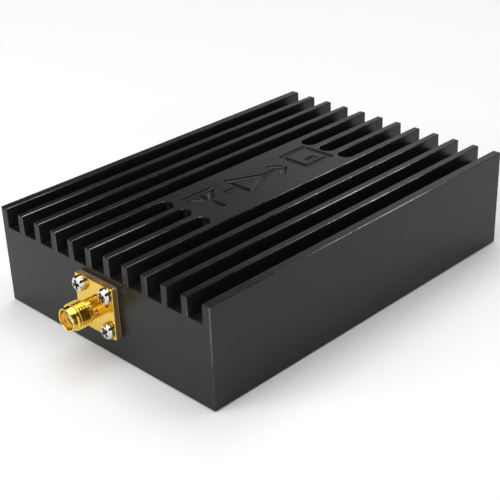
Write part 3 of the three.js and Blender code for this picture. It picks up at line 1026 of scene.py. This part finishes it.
def barrel():
    """The threaded tube. The thread's rows follow the helix and are squeezed flat at both of its ends."""
    mesh_data = bmesh.new()
    facets = 96
    per_turn = 16
    first = math.floor(NECK_END / THREAD_PITCH) - 1
    last = math.ceil(THREAD_END / THREAD_PITCH)
    rows = []
    for step in range((last - first) * per_turn + 1):
        turns = first + step / per_turn
        row = []
        for i in range(facets + 1):
            share = i / facets
            height = min(max((turns + share) * THREAD_PITCH, NECK_END), THREAD_END)
            radius = outside_radius(turns, height)
            angle = 2 * math.pi * share
            x, y = radius * math.cos(angle), radius * math.sin(angle)
            row.append(mesh_data.verts.new((x, y, height)))
        rows.append(row)
    for low, high in zip(rows, rows[1:]):
        for i in range(facets):
            mesh_data.faces.new((low[i], low[i + 1], high[i + 1], high[i]))
    rim = 0.16
    round_out = [(NOSE_R - rim + x, JACK_END - rim + y) for x, y in arc((0, 0), rim, 0, 90, 5)]
    round_in = [(SOCKET_R + rim + x, JACK_END - rim + y) for x, y in arc((0, 0), rim, 90, 180, 5)]
    shoulder = JACK_END - SOCKET_DEPTH
    inside = [(SOCKET_R, shoulder), (BORE_R, shoulder), (BORE_R, FIT)]
    neck = [(NECK_R, FIT), (NECK_R, NECK_END)]
    profile = [(NOSE_R, THREAD_END)] + round_out + round_in + inside + neck
    rings = [ring(mesh_data, radius, height, facets) for radius, height in profile]
    for low, high in zip(rings, rings[1:]):
        for i in range(facets):
            after = (i + 1) % facets
            mesh_data.faces.new((low[i], low[after], high[after], high[i]))
    seam, sliver = 0.002, 0.001
    bmesh.ops.remove_doubles(mesh_data, verts=mesh_data.verts, dist=seam)
    bmesh.ops.dissolve_degenerate(mesh_data, edges=mesh_data.edges, dist=sliver)
    return shape("barrel", mesh_data)


def flange():
    half, corner = FLANGE / 2, FLANGE_CORNER
    outline = []
    for x, y, start in ((1, 1, 0), (-1, 1, 90), (-1, -1, 180), (1, -1, 270)):
        outline += arc((x * (half - corner), y * (half - corner)), corner, start, start + 90, 6)
    plate = prism("flange", outline, 0, FLANGE_T)
    cut(plate, rods("holes", flange_holes(), FLANGE_HOLE_R, -OVER, FLANGE_T + OVER, 48))
    bevel_edges(plate, FLANGE_BEVEL, lambda middle: 1)
    return cut(plate, rods("middle", [(0, 0)], (BORE_R + NECK_R) / 2, -OVER, FLANGE_T + OVER, 96))


def mark_sides(shell):
    """Gives the flange's milled sides the third material, a darker gold with painted shade, and their
    rear edge the second, a pale rim painted in as a highlight.
    """
    mesh = bmesh.new()
    mesh.from_mesh(shell.data)
    everything = mesh.verts[:] + mesh.edges[:] + mesh.faces[:]
    level = (0, 0, FLANGE_RIM * MM)
    bmesh.ops.bisect_plane(mesh, geom=everything, dist=1e-8, plane_co=level, plane_no=(0, 0, 1))
    bright_edge = 0.2
    for face in mesh.faces:
        middle = face.calc_center_median() / MM
        on_side = max(abs(middle.x), abs(middle.y)) > FLANGE / 2 - FLANGE_CORNER
        if on_side and NEAR < middle.z < FLANGE_T - bright_edge:
            # slot 1 is the painted highlight on the rear rim, slot 2 the darker gold with painted shade
            face.material_index = 1 if middle.z < FLANGE_RIM else 2
    mesh.to_mesh(shell.data)
    mesh.free()


def lock_hole(bottom):
    """The tool for the small hole in the neck's side, with a chamfered mouth. bottom is a radius."""
    r, chamfer, over = LOCK_HOLE_R, LOCK_HOLE_CHAMFER, 0.13
    profile = [(0, bottom), (r, bottom), (r, NECK_R - chamfer)]
    profile += [(r + chamfer + over, NECK_R + over), (0, NECK_R + over)]
    tool = turn(turned("lock_hole", profile, 32), Matrix.Rotation(math.pi / 2, 4, "Y"))
    place = Matrix.Translation((0, 0, LOCK_HOLE_Z * MM))
    return turn(tool, place @ Matrix.Rotation(math.radians(LOCK_HOLE_TURN), 4, "Z"))


def make_insulator(tip):
    chamfer = 0.08
    hole_r = CONTACT_R + FIT
    profile = [(hole_r, -WALL), (INSULATOR_R, -WALL), (INSULATOR_R, tip - chamfer)]
    profile += [(INSULATOR_R - chamfer, tip), (hole_r + chamfer, tip), (hole_r, tip - chamfer)]
    return cut(turned("insulator", profile), lock_hole(CONTACT_R + LOCK_HOLE_FLOOR))


def make_contact(tip):
    """The centre pin, whose tip is a socket with two slots across it."""
    chamfer, cone = 0.08, 0.25
    tail = -WALL - CONTACT_TAIL
    hole_end = tip - CONTACT_HOLE_DEPTH
    profile = [(0, tail), (CONTACT_R - chamfer, tail), (CONTACT_R, tail + chamfer)]
    profile += [(CONTACT_R, tip - chamfer), (CONTACT_R - chamfer, tip)]
    profile += [(CONTACT_HOLE_R + chamfer / 2, tip), (CONTACT_HOLE_R, tip - chamfer / 2)]
    profile += [(CONTACT_HOLE_R, hole_end), (0, hole_end - cone)]
    contact = turned("contact", profile, 48)
    half, low, high = CONTACT_SLOT / 2, tip - CONTACT_SLOT_DEPTH, tip + OVER
    cut(contact, box("slot", (-1, -half, low), (1, half, high)))
    return cut(contact, box("slot", (-half, -1, low), (half, 1, high)))


def make_jacks():
    shell = weld(barrel(), flange())
    cut(shell, lock_hole(BORE_R - 0.1))
    mark_sides(dress(shell, "gold_plate", "painted_rim_highlight", "milled_gold_painted_shade"))
    tip = JACK_END - SOCKET_DEPTH
    masters = (
        (shell, "shell", "gold_plate"),
        (make_insulator(tip), "insulator", "white_ptfe"),
        (make_contact(tip), "contact", "gold_plate"),
    )
    for end in ("front", "rear"):
        for master, part, slot in masters:
            copy = link(bpy.data.objects.new(f"{end}_jack_{part}_detail", master.data.copy()))
            turn(copy, end_frame(end))
            piece(copy, slot, f"{end}_jack_{part}", smooth_angle=30)
    for master, _, _ in masters:
        bpy.data.objects.remove(master)


# ---- Power inlet and status light, built about Z with the wall's outer face on the XY plane

def make_inlet():
    middle = middle_of("power_inlet_body")
    stand = end_frame("rear", middle.x, middle.z)
    front, back = -WALL - CLEAR, -WALL - CLEAR - INLET_DEPTH
    half = INLET_BODY / 2
    body = box("power_inlet_body_detail", (-half, -half, back), (half, half, front))
    bevel_edges(body, INLET_BEVEL, lambda middle: 1)
    nose = [(0, front - OVER), (INLET_NOSE_R, front - OVER), (INLET_NOSE_R, -INLET_NOSE_CHAMFER)]
    weld(body, turned("nose", nose + [(INLET_NOSE_R - INLET_NOSE_CHAMFER, 0), (0, 0)], 96))
    mouth_r = INLET_BORE_R + INLET_BORE_CHAMFER
    bore = [(0, -INLET_BORE_DEPTH), (INLET_BORE_R, -INLET_BORE_DEPTH)]
    bore += [(INLET_BORE_R, -INLET_BORE_CHAMFER), (mouth_r, 0), (mouth_r, OVER), (0, OVER)]
    cut(body, turned("bore", bore, 96))
    cut(body, rods("pin_hole", [(0, 0)], INLET_PIN_R + FIT, back - OVER, 0))
    slot_low = (-INLET_SLOT / 2, -half - OVER, back + 1)
    cut(body, box("spring_slot", slot_low, (INLET_SLOT / 2, 0, front - 1.2)))
    turn(body, stand)
    piece(body, "black_plastic", "power_inlet_body")
    tail = back - INLET_PIN_TAIL
    round_tip = dome(INLET_PIN_R, tail + INLET_PIN_L - INLET_PIN_NOSE, INLET_PIN_NOSE, 6)
    pin = turned("power_inlet_pin_detail", [(0, tail), (INLET_PIN_R, tail)] + round_tip, 48)
    turn(pin, stand)
    piece(pin, "nickel_plate", "power_inlet_pin")


def make_status_light():
    middle = middle_of("status_light_pipe")
    profile = [(0, -WALL), (LIGHT_R, -WALL)] + dome(LIGHT_R, 0, LIGHT_PROUD, 8)
    pipe = turned("status_light_pipe_detail", profile)
    turn(pipe, end_frame("rear", middle.x, middle.z))
    piece(pipe, "clear_lens", "status_light_pipe")


make_case()
make_cover()
make_screws()
make_jacks()
make_inlet()
make_status_light()


# ---- CAD nodes that keep their meshes

for name, node in frame["nodes"].items():
    if node.hide_render:
        continue
    slot = next(s["material_slot"] for s in frame["record"]["subparts"] if s["node"] == name)
    node.data.materials.clear()
    node.data.materials.append(MATERIALS[slot])
